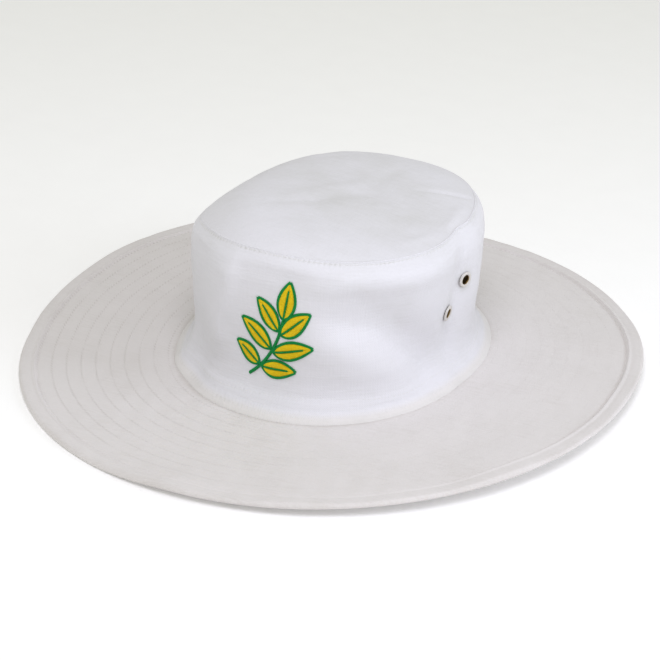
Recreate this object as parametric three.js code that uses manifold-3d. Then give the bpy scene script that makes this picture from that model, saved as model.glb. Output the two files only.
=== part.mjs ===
// A wide-brimmed cotton sun hat lying on a flat surface. Lengths are in millimetres and +Z is up.
// The front faces -Y. Angles are in degrees, from the front toward +X, the wearer's left side.
// A rise is a share of the side wall's height, 0 at the brim and 1 at the top seam.
import * as THREE from 'three';
import { mergeVertices } from 'three/addons/utils/BufferGeometryUtils.js';
import Module from 'manifold-3d';

const wasm = await Module();
wasm.setup();

// Driving dimensions
const GAP = 0.3;
const OVAL_POWER = 2.11;
const HEAD = { front: 104, side: 85.6, x: 0, y: 0 };
const TIP = { front: 91.1, side: 72.1, x: -0.8, y: 1.5 };
const BRIM = { width: 88.3, thick: 2.6, allowance: 4.2 };

// The hem's stitch row lies in a groove that begins at lead inside it. Its padding is full height
// from start to end, and the rim rounds off over its last round.
const HEM = { width: 10, lead: 1.6, groove: 0.4, start: 1.8, end: 5.5, puff: 0.8 };
const RIM = { round: 1.2, shoulder: 0.27, edge: 1.1 };

const WALL_THICK = 1.8;
const TIP_CLOTH = { thick: 2, seat: 2.6 };
const BAND = { thick: 1.2, gap: 0.5 };
const DOME = { height: 17.9, power: 2.9, left: 0.35, front: 0.1, fold: 6 };

// The top sags round x and y, out to reach, with a flatter bottom where power is larger. It fades
// out toward the seam.
const SAG = { x: 10, y: -12, reach: 58, power: 4, depth: 6.5, fade: 9 };
const EYELET = { bore: 2.3, barrel: 2.7, flange: 5, bevel: 0.5, washer: 4.4, plate: 0.7, gap: 0.45 };
const EYELET_HOLE = { radius: 3.05, drill: 12 };

// Uneven heights and slopes round the oval, as sums of cosines and sines of the angle
const WAVES = {
  junction: { mean: 5.3, cos: [-0.9, -0.7], sin: [-0.8, 0.3] },
  seam: { mean: 87, cos: [2.8, 3.1, 0.62], sin: [3, -1.25, -1.14] },
  brimPitch: { mean: 0, cos: [0.19, -0.94, 0.55, -0.12], sin: [0.4, 2.01, 0.11, 0.09] },
};

// The brim lies flat where it would clear the surface by less than flat, and is free from free on.
// This grows from nothing near the wall, at the share from, to its full effect at the share to.
const REST = { flat: 0.8, free: 3.2, from: 0.1, to: 0.45 };

// How far the wall has moved from the head oval to the tip oval at each rise
const WALL_PROFILE = [
  { rise: 0, inset: 0 },
  { rise: 0.05, inset: 0.33 },
  { rise: 0.1, inset: 0.58 },
  { rise: 0.17, inset: 0.7 },
  { rise: 0.28, inset: 0.71 },
  { rise: 0.5, inset: 0.63 },
  { rise: 0.75, inset: 0.57 },
  { rise: 0.88, inset: 0.6 },
  { rise: 0.955, inset: 0.76 },
  { rise: 1, inset: 1 },
];

// The wearer's left side seam wanders as the cloth slumps. The right one is straight.
const LEFT_SEAM = [
  { rise: 0, angle: 77 },
  { rise: 0.12, angle: 79 },
  { rise: 0.3, angle: 83 },
  { rise: 0.55, angle: 85 },
  { rise: 0.8, angle: 86.5 },
  { rise: 1, angle: 89.5 },
];
const RIGHT_SEAM = -90;

// Dents press the wall inward by deep, and a negative depth is a swell. The reaches are in mm,
// along the wall and up it, after the dent is turned by its lean in degrees. Its edge along the
// wall falls off by power. DENT_ARC is the wall's length in a degree and DENT_TALL its height.
const DENT_COLUMNS = ['name', 'angle', 'rise', 'before', 'after', 'below', 'above', 'lean', 'deep', 'power'];
const DENT_ROWS = [
  ['front_hollow', 42, 0.78, 30, 24, 12, 12, -8, 1.6, 2],
  ['side_trough', 52, 0.48, 40, 32, 13, 11, -36, 3.8, 2],
  ['low_ridge', 40, 0.33, 26, 22, 8, 8, -30, -1.3, 2],
  ['seam_fold_low', 81, 0.24, 18, 8, 14, 24, 0, 3.6, 1.5],
  ['seam_fold_mid', 85, 0.66, 20, 8, 24, 18, 0, 2.6, 1.5],
  ['back_swell', 101, 0.55, 12, 16, 30, 28, 0, -1.6, 2],
  ['top_nick', 89, 1, 9, 9, 9, 9, 0, 2, 2],
  ['left_tuck', -31, 0.07, 10, 10, 7, 14, 0, 1.8, 2],
  ['left_roll', -44, 0.06, 10, 9, 6, 9, 0, -1.8, 2],
];
const DENTS = DENT_ROWS.map((row) => Object.fromEntries(row.map((value, k) => [DENT_COLUMNS[k], value])));
const DENT_ARC = 1.5;
const DENT_TALL = 84;

// Folds press the wall inward by deep along their paths, to the reaches left and right of the way
// that they run. Their profile is sharper where power is smaller, and they fade out at both ends.
const FOLDS = [
  {
    name: 'top_roll',
    size: { deep: -4, left: 6, right: 14, power: 1.7 },
    path: [
      { angle: 10, rise: 0.96 },
      { angle: 27, rise: 0.92 },
      { angle: 44, rise: 0.91 },
      { angle: 61, rise: 0.94 },
      { angle: 82, rise: 0.95 },
    ],
  },
  {
    name: 'trough',
    size: { deep: 2.2, left: 14, right: 14, power: 1.6 },
    path: [
      { angle: 10, rise: 0.7 },
      { angle: 24, rise: 0.63 },
      { angle: 37, rise: 0.59 },
      { angle: 47, rise: 0.46 },
      { angle: 57, rise: 0.3 },
      { angle: 66, rise: 0.13 },
      { angle: 75, rise: -0.05 },
    ],
  },
  {
    name: 'ridge',
    size: { deep: -1.8, left: 10, right: 12, power: 2 },
    path: [
      { angle: 3, rise: 0.5 },
      { angle: 21, rise: 0.45 },
      { angle: 33, rise: 0.27 },
      { angle: 50, rise: 0.1 },
      { angle: 56, rise: -0.04 },
    ],
  },
  {
    name: 'stiff_front',
    size: { deep: 3.4, left: 19, right: 22, power: 2 },
    path: [
      { angle: 4, rise: 1.25 },
      { angle: 5, rise: 0.76 },
      { angle: -4, rise: 0.38 },
      { angle: -7, rise: -0.1 },
    ],
  },
  {
    name: 'corner',
    size: { deep: -2, left: 6, right: 7.5, power: 1.7 },
    path: [
      { angle: -9, rise: 1.15 },
      { angle: -12.5, rise: 0.88 },
      { angle: -14, rise: 0.68 },
      { angle: -18, rise: 0.5 },
      { angle: -20, rise: 0.35 },
      { angle: -28, rise: 0.12 },
    ],
  },
  {
    name: 'left_hollow',
    size: { deep: 2.6, left: 18, right: 20, power: 2 },
    path: [
      { angle: -34, rise: 1.2 },
      { angle: -34, rise: 0.56 },
      { angle: -36, rise: 0.1 },
    ],
  },
  {
    name: 'seam_groove',
    size: { deep: 1, left: 8, right: 7, power: 2 },
    path: [
      { angle: 81, rise: 1 },
      { angle: 83, rise: 0.75 },
      { angle: 85, rise: 0.45 },
    ],
  },
];
const FOLD_STEPS = 24;
const FOLD_FADE = 0.25;

// The seams hold the cloth: folds rise from nothing at the foot to their full depth at full, and
// from weaker on they weaken to the share held at the top seam.
const FOLD_ENDS = { full: 0.14, weaker: 0.84, held: 0.35 };

const EYELETS = [
  { name: 'eyelet_left_back', angle: 89.5, rise: 0.655 },
  { name: 'eyelet_left_front', angle: 78, rise: 0.475 },
  { name: 'eyelet_right_back', angle: -96, rise: 0.655 },
  { name: 'eyelet_right_front', angle: -84, rise: 0.475 },
];

// Mesh steps
const BRIM_COLUMNS = 72;
const PANEL_COLUMNS = { front: 41, back: 27 };
const WALL_COLUMNS = PANEL_COLUMNS.front + PANEL_COLUMNS.back;
const BAND_RISES = [0.02, 0.05, 0.09, 0.13, 0.18, 0.26, 0.36];
const WALL_RISES = [0, ...BAND_RISES, 0.46, 0.56, 0.66, 0.76, 0.85, 0.92, 0.965, 1];
const BAND_INNER_RISES = [0.02, 0.09, 0.18, 0.36];
const BRIM_TOP_STEPS = [0.15, 0.35, 0.55, 0.72, 0.83];
const BRIM_UNDER_STEPS = [0, 0.2, 0.4, 0.6, 0.8, 0.92];
const TIP_TOP_STEPS = [0.22, 0.44, 0.64, 0.8, 0.92];
const TIP_UNDER_STEPS = [0.88, 0.64, 0.32];
const EYELET_SIDES = 12;
const MERGE_REACH = 1e-4;
const SLOPE_STEP = { angle: 3, rise: 0.05 };

const CLOTH = { color: 0xf3f1ea, roughness: 0.9, metalness: 0 };
const COOL_CLOTH = { color: 0xf0f0f2, roughness: 0.9, metalness: 0 };
const ENAMEL = { color: 0xf4f3f1, roughness: 0.45, metalness: 0.2 };

function radians(angle) {
  return THREE.MathUtils.degToRad(angle);
}

function wave({ mean, cos, sin }, angle, share = 1) {
  const turn = radians(angle);
  let sum = mean;
  cos.forEach((size, k) => {
    const order = k + 1;
    sum += share ** order * (size * Math.cos(order * turn) + sin[k] * Math.sin(order * turn));
  });
  return sum;
}

// A smooth curve through the rows of a table, where one column goes by another
function follow(table, key, value, by = 'rise') {
  const last = table.length - 1;
  const slope = (i) => (table[i + 1][key] - table[i][key]) / (table[i + 1][by] - table[i][by]);
  const tangent = (i) => {
    if (i === 0) return slope(0);
    if (i === last) return slope(last - 1);
    const before = table[i][by] - table[i - 1][by];
    const after = table[i + 1][by] - table[i][by];
    return (slope(i - 1) * after + slope(i) * before) / (before + after);
  };
  let i = 0;
  while (i < last - 1 && value >= table[i + 1][by]) i += 1;
  const span = table[i + 1][by] - table[i][by];
  const t = (value - table[i][by]) / span;
  const start = (2 * t ** 3 - 3 * t ** 2 + 1) * table[i][key];
  const leave = (t ** 3 - 2 * t ** 2 + t) * span * tangent(i);
  const end = (3 * t ** 2 - 2 * t ** 3) * table[i + 1][key];
  const arrive = (t ** 3 - t ** 2) * span * tangent(i + 1);
  return start + leave + end + arrive;
}

function ovalPoint({ front, side, x, y }, angle) {
  const across = Math.sin(radians(angle));
  const ahead = Math.cos(radians(angle));
  const sum = Math.abs(across / side) ** OVAL_POWER + Math.abs(ahead / front) ** OVAL_POWER;
  const radius = sum ** (-1 / OVAL_POWER);
  return new THREE.Vector2(x + radius * across, y - radius * ahead);
}

// The horizontal direction straight out of the head oval
function outward(angle) {
  const { x, y } = ovalPoint(HEAD, angle);
  const across = Math.sign(x) * Math.abs(x / HEAD.side) ** (OVAL_POWER - 1) / HEAD.side;
  const ahead = Math.sign(y) * Math.abs(y / HEAD.front) ** (OVAL_POWER - 1) / HEAD.front;
  return new THREE.Vector2(across, ahead).normalize();
}

function settled(height) {
  const rest = BRIM.thick / 2;
  const clear = height - rest;
  return rest + Math.max(clear, 0) * THREE.MathUtils.smoothstep(clear, REST.flat, REST.free);
}

// The middle of the brim's thickness at a share of its width, 0 at the wall and 1 at the rim
function brimMiddle(angle, share) {
  const pitch = radians(wave(WAVES.brimPitch, angle));
  const reach = BRIM.width * Math.cos(pitch) * share;
  const plan = ovalPoint(HEAD, angle).addScaledVector(outward(angle), reach);
  const root = wave(WAVES.junction, angle) - BRIM.thick / 2 * (1 - share);
  const free = root + BRIM.width * Math.sin(pitch) * share;
  const settling = THREE.MathUtils.smoothstep(share, REST.from, REST.to);
  return new THREE.Vector3(plan.x, plan.y, THREE.MathUtils.lerp(free, settled(free), settling));
}

function wrapped(angle) {
  return THREE.MathUtils.euclideanModulo(angle + 180, 360) - 180;
}

function dentDepth(angle, rise) {
  let depth = 0;
  for (const dent of DENTS) {
    const arc = wrapped(angle - dent.angle) * DENT_ARC;
    const up = (rise - dent.rise) * DENT_TALL;
    const turn = radians(dent.lean);
    const p = arc * Math.cos(turn) + up * Math.sin(turn);
    const q = up * Math.cos(turn) - arc * Math.sin(turn);
    const far = Math.abs(p) / (p < 0 ? dent.before : dent.after);
    const high = Math.abs(q) / (q < 0 ? dent.below : dent.above);
    depth += dent.deep * Math.exp(-(far ** dent.power) - high ** 2);
  }
  return depth;
}

// The points that a fold runs through, in mm along the wall and up it
function foldLine({ path }) {
  const rows = path.map(({ angle, rise }, step) => ({ step, arc: angle * DENT_ARC, up: rise * DENT_TALL }));
  const line = [];
  for (let k = 0; k < FOLD_STEPS; k += 1) {
    const step = (rows.length - 1) * k / (FOLD_STEPS - 1);
    line.push(new THREE.Vector2(follow(rows, 'arc', step, 'step'), follow(rows, 'up', step, 'step')));
  }
  return line;
}

const FOLD_LINES = FOLDS.map(foldLine);

// How far a point is from a line, how far along it that is, and on which side
function nearestOn(line, at) {
  let nearest = { gap: Infinity };
  for (let k = 0; k < line.length - 1; k += 1) {
    const way = line[k + 1].clone().sub(line[k]);
    const off = at.clone().sub(line[k]);
    const t = THREE.MathUtils.clamp(off.dot(way) / way.lengthSq(), 0, 1);
    const gap = off.clone().addScaledVector(way, -t).length();
    if (gap < nearest.gap) nearest = { gap, share: (k + t) / (line.length - 1), side: way.cross(off) };
  }
  return nearest;
}

function foldDepth(angle, rise) {
  const at = new THREE.Vector2(wrapped(angle) * DENT_ARC, rise * DENT_TALL);
  let depth = 0;
  FOLDS.forEach(({ size }, k) => {
    const { gap, share, side } = nearestOn(FOLD_LINES[k], at);
    const start = THREE.MathUtils.smoothstep(share, 0, FOLD_FADE);
    const end = THREE.MathUtils.smoothstep(1 - share, 0, FOLD_FADE);
    const reach = side > 0 ? size.left : size.right;
    depth += size.deep * start * end * Math.exp(-((gap / reach) ** size.power));
  });
  const foot = THREE.MathUtils.smoothstep(rise, 0, FOLD_ENDS.full);
  const top = 1 - (1 - FOLD_ENDS.held) * THREE.MathUtils.smoothstep(rise, FOLD_ENDS.weaker, 1);
  return depth * foot * top;
}

function pressed(angle, rise) {
  return dentDepth(angle, rise) + foldDepth(angle, rise);
}

// A point of the side wall, at a depth behind its outer face
function wallPoint(angle, rise, depth = 0) {
  const plan = ovalPoint(HEAD, angle).lerp(ovalPoint(TIP, angle), follow(WALL_PROFILE, 'inset', rise));
  plan.addScaledVector(outward(angle), -depth - pressed(angle, rise));
  const foot = wave(WAVES.junction, angle);
  const height = foot + (wave(WAVES.seam, angle) - foot) * rise;
  return new THREE.Vector3(plan.x, plan.y, height);
}

// A point on the outside of the crown's top, at a share of the way from its middle to the seam
function tipPoint(angle, share) {
  const plan = ovalPoint(TIP, angle).sub(TIP).multiplyScalar(share).add(TIP);
  plan.addScaledVector(outward(angle), -pressed(angle, 1) * share ** DOME.fold);
  const turn = radians(angle);
  const full = 1 - DOME.left * share * Math.sin(turn) + DOME.front * share * Math.cos(turn);
  const swell = DOME.height * (1 - share ** DOME.power) * full;
  const off = Math.hypot(plan.x - SAG.x, plan.y - SAG.y) / SAG.reach;
  const sag = SAG.depth * Math.exp(-(off ** SAG.power)) * (1 - share ** SAG.fade);
  return new THREE.Vector3(plan.x, plan.y, wave(WAVES.seam, angle, share) + swell - sag);
}

// Wall columns: the first ones cross the front panel and the rest the back panel
function columnAngle(column, rise) {
  const seam = follow(LEFT_SEAM, 'angle', rise);
  const { front, back } = PANEL_COLUMNS;
  if (column <= front) return RIGHT_SEAM + (seam - RIGHT_SEAM) * column / front;
  return seam + (RIGHT_SEAM + 360 - seam) * (column - front) / back;
}

// Joins columns of points into a closed surface. Each column is a closed section, seen with the
// next column on its right. A wrapped surface goes all the way round, and the others have end caps.
// A piece inside another is slanted, so that the two split their facing quads the same way.
function sweep(columns, isWrapped, isSlanted = false) {
  const size = columns[0].length;
  const positions = columns.flat().flatMap((point) => point.toArray());
  const index = [];
  const steps = isWrapped ? columns.length : columns.length - 1;
  for (let c = 0; c < steps; c += 1) {
    const here = c * size;
    const next = (c + 1) % columns.length * size;
    for (let k = 0; k < size; k += 1) {
      const up = (k + 1) % size;
      const [low, high] = isSlanted ? [here + up, next + k] : [next + up, here + k];
      index.push(here + k, next + k, low);
      index.push(high, next + up, here + up);
    }
  }
  if (!isWrapped) {
    const end = (columns.length - 1) * size;
    for (let k = 0; k < size / 2 - 1; k += 1) {
      const far = size - 1 - k;
      index.push(k, k + 1, far - 1, k, far - 1, far);
      index.push(end + k, end + far - 1, end + k + 1, end + k, end + far, end + far - 1);
    }
  }
  const geometry = new THREE.BufferGeometry();
  geometry.setAttribute('position', new THREE.Float32BufferAttribute(positions, 3));
  geometry.setIndex(index);
  return tidied(geometry);
}

// Merges shared vertices and drops the triangles that a merge has closed up
function tidied(geometry) {
  geometry.deleteAttribute('normal');
  geometry.deleteAttribute('uv');
  const merged = mergeVertices(geometry, MERGE_REACH);
  const old = merged.getIndex().array;
  const kept = [];
  for (let i = 0; i < old.length; i += 3) {
    const [a, b, c] = old.slice(i, i + 3);
    if (a !== b && b !== c && c !== a) kept.push(a, b, c);
  }
  merged.setIndex(kept);
  return merged;
}

function toSolid(geometry) {
  const vertProperties = new Float32Array(geometry.getAttribute('position').array);
  const triVerts = new Uint32Array(geometry.getIndex().array);
  return new wasm.Manifold(new wasm.Mesh({ numProp: 3, vertProperties, triVerts }));
}

function fromSolid(solid) {
  const { vertProperties, triVerts } = solid.getMesh();
  const geometry = new THREE.BufferGeometry();
  geometry.setAttribute('position', new THREE.Float32BufferAttribute(vertProperties, 3));
  geometry.setIndex(Array.from(triVerts));
  return geometry;
}

function raised(point, height) {
  return new THREE.Vector3(point.x, point.y, point.z + height);
}

// One radial section of the brim: up its inner edge, out along the top, round the rim and back
function brimColumn(angle) {
  const half = BRIM.thick / 2;
  const inner = -BRIM.allowance / BRIM.width;
  const hem = 1 - HEM.width / BRIM.width;
  const mm = 1 / BRIM.width;
  const top = [
    { share: inner, lift: 0 },
    { share: 0, lift: 0 },
    ...BRIM_TOP_STEPS.map((share) => ({ share, lift: 0 })),
    { share: hem - HEM.lead * mm, lift: 0 },
    { share: hem, lift: -HEM.groove },
    { share: hem + HEM.start * mm, lift: HEM.puff },
    { share: hem + HEM.end * mm, lift: HEM.puff },
    { share: 1 - RIM.round * mm, lift: RIM.shoulder },
  ];
  const rim = [raised(brimMiddle(angle, 1), RIM.edge / 2), raised(brimMiddle(angle, 1), -RIM.edge / 2)];
  const under = [inner, ...BRIM_UNDER_STEPS, 1 - RIM.round * mm];
  const above = top.map(({ share, lift }) => raised(brimMiddle(angle, share), half + lift));
  const below = under.map((share) => raised(brimMiddle(angle, share), -half)).reverse();
  return [...above, ...rim, ...below].reverse();
}

function brimGeometry() {
  const columns = [];
  for (let c = 0; c < BRIM_COLUMNS; c += 1) columns.push(brimColumn(360 * c / BRIM_COLUMNS));
  return sweep(columns, true);
}

// One side panel, from its first wall column on, with its edges held back from the side seams
function panelGeometry(first, count) {
  const columns = [];
  for (let c = 0; c <= count; c += 1) {
    const edge = c === 0 ? GAP / 2 : c === count ? -GAP / 2 : 0;
    const point = (rise, depth) => {
      const angle = columnAngle(first + c, rise) + edge / DENT_ARC;
      const lift = rise === 0 ? GAP : rise === 1 ? -GAP / 2 : 0;
      return raised(wallPoint(angle, rise, depth), lift);
    };
    const outside = WALL_RISES.map((rise) => point(rise, 0));
    const inside = WALL_RISES.map((rise) => point(rise, WALL_THICK)).reverse();
    columns.push([...outside, ...inside]);
  }
  return sweep(columns, false);
}

function bandGeometry() {
  const columns = [];
  const near = WALL_THICK + BAND.gap;
  const far = near + BAND.thick;
  for (let c = 0; c < WALL_COLUMNS; c += 1) {
    const point = (rise, depth) => wallPoint(columnAngle(c, rise), rise, depth);
    const outside = BAND_RISES.map((rise) => point(rise, near));
    const inside = BAND_INNER_RISES.map((rise) => point(rise, far)).reverse();
    columns.push([...outside, ...inside]);
  }
  return sweep(columns, true, true);
}

// The domed top: out along the outside, across its seat on the wall, and back along the underside
function tipGeometry() {
  const columns = [];
  const middle = tipPoint(0, 0);
  for (let c = 0; c < WALL_COLUMNS; c += 1) {
    const angle = columnAngle(c, 1);
    const seam = raised(wallPoint(angle, 1), GAP / 2);
    const seat = raised(wallPoint(angle, 1, TIP_CLOTH.seat), GAP / 2);
    const over = TIP_TOP_STEPS.map((share) => tipPoint(angle, share));
    const under = TIP_UNDER_STEPS.map((share) => raised(tipPoint(angle, share), -TIP_CLOTH.thick));
    const column = [middle, ...over, seam, seat, ...under, raised(middle, -TIP_CLOTH.thick)];
    columns.push(column.reverse());
  }
  return sweep(columns, true);
}

// Where an eyelet sits, with its own axis straight out of the wall
function eyeletPlace({ angle, rise }) {
  const centre = wallPoint(angle, rise);
  const step = SLOPE_STEP;
  const along = wallPoint(angle + step.angle, rise).sub(wallPoint(angle - step.angle, rise));
  const up = wallPoint(angle, rise + step.rise).sub(wallPoint(angle, rise - step.rise));
  const out = along.cross(up).normalize();
  const turn = new THREE.Quaternion().setFromUnitVectors(new THREE.Vector3(0, 0, 1), out);
  return new THREE.Matrix4().compose(centre, turn, new THREE.Vector3(1, 1, 1));
}

// A flange outside, a barrel through the cloth and a rolled washer inside
function eyeletGeometry() {
  const { bore, barrel, flange, bevel, washer, plate, gap } = EYELET;
  const back = -WALL_THICK - gap;
  const profile = [
    [bore, back - plate],
    [washer, back - plate],
    [washer, back],
    [barrel, back],
    [barrel, gap],
    [flange, gap],
    [flange - bevel, gap + plate],
    [bore, gap + plate],
    [bore, back - plate],
  ];
  const points = profile.map(([radius, height]) => new THREE.Vector2(radius, height));
  return tidied(new THREE.LatheGeometry(points, EYELET_SIDES).rotateX(Math.PI / 2));
}

function pierced(geometry) {
  let solid = toSolid(geometry);
  for (const eyelet of EYELETS) {
    const { radius, drill: length } = EYELET_HOLE;
    const drill = new THREE.CylinderGeometry(radius, radius, length, EYELET_SIDES);
    drill.rotateX(Math.PI / 2).applyMatrix4(eyeletPlace(eyelet));
    solid = solid.subtract(toSolid(tidied(drill)));
  }
  return fromSolid(solid);
}

function part(name, geometry, look) {
  const mesh = new THREE.Mesh(geometry, new THREE.MeshStandardMaterial(look));
  mesh.name = name;
  return mesh;
}

const hat = new THREE.Group();
hat.add(part('brim', brimGeometry(), CLOTH));
hat.add(part('crown_side_front', pierced(panelGeometry(0, PANEL_COLUMNS.front)), COOL_CLOTH));
hat.add(part('crown_side_back', pierced(panelGeometry(PANEL_COLUMNS.front, PANEL_COLUMNS.back)), COOL_CLOTH));
hat.add(part('crown_top', tipGeometry(), COOL_CLOTH));
hat.add(part('sweatband', bandGeometry(), CLOTH));
for (const eyelet of EYELETS) {
  const ring = part(eyelet.name, eyeletGeometry(), ENAMEL);
  ring.applyMatrix4(eyeletPlace(eyelet));
  hat.add(ring);
}

export default hat;
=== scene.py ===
"""A white cotton sun hat with a stitched brim, resting on a pale floor.

Lengths are in millimetres until a mesh is made. Angles are in degrees in the tables and in radians
in the functions, where they are called turns. They run from the hat's front toward +X, the wearer's
left side. A rise is a share of the side wall's height, 0 at the brim and 1 at the top seam.
"""

from functools import partial

import bmesh
import bpy
import numpy as np
from mathutils import Matrix, Vector


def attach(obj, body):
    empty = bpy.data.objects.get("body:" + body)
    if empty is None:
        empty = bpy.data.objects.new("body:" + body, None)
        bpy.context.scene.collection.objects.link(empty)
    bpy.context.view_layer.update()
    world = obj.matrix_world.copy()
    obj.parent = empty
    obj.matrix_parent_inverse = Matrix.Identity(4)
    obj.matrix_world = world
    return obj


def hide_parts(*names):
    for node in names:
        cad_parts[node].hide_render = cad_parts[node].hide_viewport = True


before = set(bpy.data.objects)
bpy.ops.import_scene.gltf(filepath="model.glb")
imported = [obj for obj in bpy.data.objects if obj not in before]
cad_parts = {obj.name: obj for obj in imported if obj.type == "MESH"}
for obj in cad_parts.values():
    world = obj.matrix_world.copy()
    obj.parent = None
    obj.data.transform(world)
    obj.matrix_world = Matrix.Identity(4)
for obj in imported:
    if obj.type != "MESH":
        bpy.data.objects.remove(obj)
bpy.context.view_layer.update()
MM = 0.001
SHARP_EDGE = 50

# The hat's driving dimensions, as in the part's source
GAP = 0.3
OVAL_POWER = 2.11
HEAD = {"front": 104, "side": 85.6, "x": 0, "y": 0}
TIP = {"front": 91.1, "side": 72.1, "x": -0.8, "y": 1.5}
BRIM = {"width": 88.3, "thick": 2.6, "allowance": 4.2, "hem": 10.0, "puff": 0.8}
WALL_THICK = 1.8
TIP_CLOTH = {"thick": 2.0, "seat": 2.6}
BAND = {"thick": 1.2, "gap": 0.5, "foot": 0.02, "head": 0.36, "roll": 0.01}
DOME = {"height": 17.9, "power": 2.9, "left": 0.35, "front": 0.1, "fold": 6}
WAVES = {
    "junction": {"mean": 5.3, "cos": (-0.9, -0.7), "sin": (-0.8, 0.3)},
    "seam": {"mean": 87, "cos": (2.8, 3.1, 0.62), "sin": (3, -1.25, -1.14)},
    "pitch": {"mean": 0, "cos": (0.19, -0.94, 0.55, -0.12), "sin": (0.4, 2.01, 0.11, 0.09)},
}
REST = {"height": (0.8, 3.2), "share": (0.1, 0.45)}
WALL_PROFILE = (
    (0, 0), (0.05, 0.33), (0.1, 0.58), (0.17, 0.7), (0.28, 0.71),
    (0.5, 0.63), (0.75, 0.57), (0.88, 0.6), (0.955, 0.76), (1, 1),
)
LEFT_SEAM = ((0, 77), (0.12, 79), (0.3, 83), (0.55, 85), (0.8, 86.5), (1, 89.5))
RIGHT_SEAM = -90

# Dents of the wall: angle, rise, reaches before, after, below and above, lean, depth and power
DENTS = {
    "front_hollow": (42, 0.78, 30, 24, 12, 12, -8, 1.6, 2),
    "side_trough": (52, 0.48, 40, 32, 13, 11, -36, 3.8, 2),
    "low_ridge": (40, 0.33, 26, 22, 8, 8, -30, -1.3, 2),
    "seam_fold_low": (81, 0.24, 18, 8, 14, 24, 0, 3.6, 1.5),
    "seam_fold_mid": (85, 0.66, 20, 8, 24, 18, 0, 2.6, 1.5),
    "back_swell": (101, 0.55, 12, 16, 30, 28, 0, -1.6, 2),
    "top_nick": (89, 1, 9, 9, 9, 9, 0, 2, 2),
    "left_tuck": (-31, 0.07, 10, 10, 7, 14, 0, 1.8, 2),
    "left_roll": (-44, 0.06, 10, 9, 6, 9, 0, -1.8, 2),
}
DENT_ARC = 1.5
DENT_TALL = 84
EYELETS = {
    "eyelet_left_back": (89.5, 0.655),
    "eyelet_left_front": (78, 0.475),
    "eyelet_right_back": (-96, 0.655),
    "eyelet_right_front": (-84, 0.475),
}
EYELET_HOLE = 3.05
FLANGE_ROLL = 0.45
EYELET = {"bore": 2.3, "barrel": 2.7, "flange": 5.0, "washer": 4.4, "plate": 0.7, "gap": 0.45}

# How many mm a radian of turn is along the wall and along the sweatband
WALL_ARC = 88
BAND_ARC = 84

# Pairs of values are for the wearer's right and left. These sines of the turn are where one becomes
# the other.
TO_LEFT = {
    "row_fade": (-0.3, 0.9), "brim_fade": (-0.7, 0.7), "joint_soil": (0.3, 0.95), "ridge": (0.2, 0.9),
}

# How many columns of points the pieces have round the hat, and a panel from seam to seam
BRIM_COLUMNS = 601
ROUND_COLUMNS = 361
PANEL_COLUMNS = 231

# From here on, a row of three numbers that shapes or soils the cloth has a strength, a place and a
# reach. The wall's rows press it in, so that a negative one is a ridge. The brim's rows lift it.

# Stitches. An arch lifts the middle of a thread off the cloth. A fade moves the needle holes of a row,
# with their painted shade, that many mm off it, which makes them fainter.
STITCH = {"pitch": 3.0, "gap": 0.9, "radius": 0.2, "sunk": 0.1}
THREAD_END = 0.55
BRIM_ROWS = {"first": 4.9, "count": 10}
BRIM_ARCH = -0.12
BRIM_FADES = (0.0, 0.62)
ROW_ARCHES = {"foot": -0.12, "band": -0.12, "top": 0.0}
WALL_STITCHES = 184
WALL_ROWS = {"foot": 0.028, "band": 0.085, "top": 0.99}
ROW_GROOVES = {"foot": 0.05, "band": 0.03, "top": 0.06}
ROW_REACH = 0.9
ROW_FADES = {"foot": (0.5, 1.1), "band": (0.6, 1.1), "top": (0, 0.45)}
BAND_ROW_SWELL = (0.04, 17, 22)

# Finer forms of the visible brim: its quilting, its hem, whose places are in mm past its stitches, and
# an angle where the rim lifts
QUILT = {"puff": 0.015, "under": 0.22, "reach": 1.6}
HEM_PROFILE = ((-0.35, 0, 0.9), (0.28, 1.7, 0.8), (-0.16, 3.3, 0.9))
HEM_CURL = {"angle": 105, "reach": 55, "more": 1.1}
RIM_WAVE = (2.1, -2.2, 7.5)
RIM_WAVE_START = 0.55
QUILT_STEPS = (-0.42, -0.28, -0.17, -0.09, 0, 0.09, 0.17, 0.28, 0.42)
HEM_STEPS = (-3.4, -2.2, -1.4, -0.7, 0, 0.5, 1, 1.5, 2, 2.6, 3.3, 4.1, 5.2, 6.4)
UNDER_STEPS = (-3, -1.3, 0, 1.3, 3)
INNER_STEP = -1.5
EASES = {"quilt": (0, 3), "fine": (1, 8), "hem": (-0.1, 1.7)}
FLOOR_ROOM = 0.05

# Small uneven waves in the cloth: strength, length and seed. The brim's broad ones grow from none to
# full between these mm off the floor and off the wall.
BRIM_CLEAR = {"floor": (0.2, 4), "wall": (4, 30)}
RIPPLE_COUNT = 14
WAVES_IN_CLOTH = {
    "brim_fine": (0.1, 16, 3),
    "brim_broad": (0.45, 70, 5),
    "wall_broad": (0.09, 13, 11),
    "wall_fine": (0.02, 5, 12),
    "top_broad": (0.1, 20, 21),
    "top_fine": (0.04, 7, 22),
}

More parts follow.
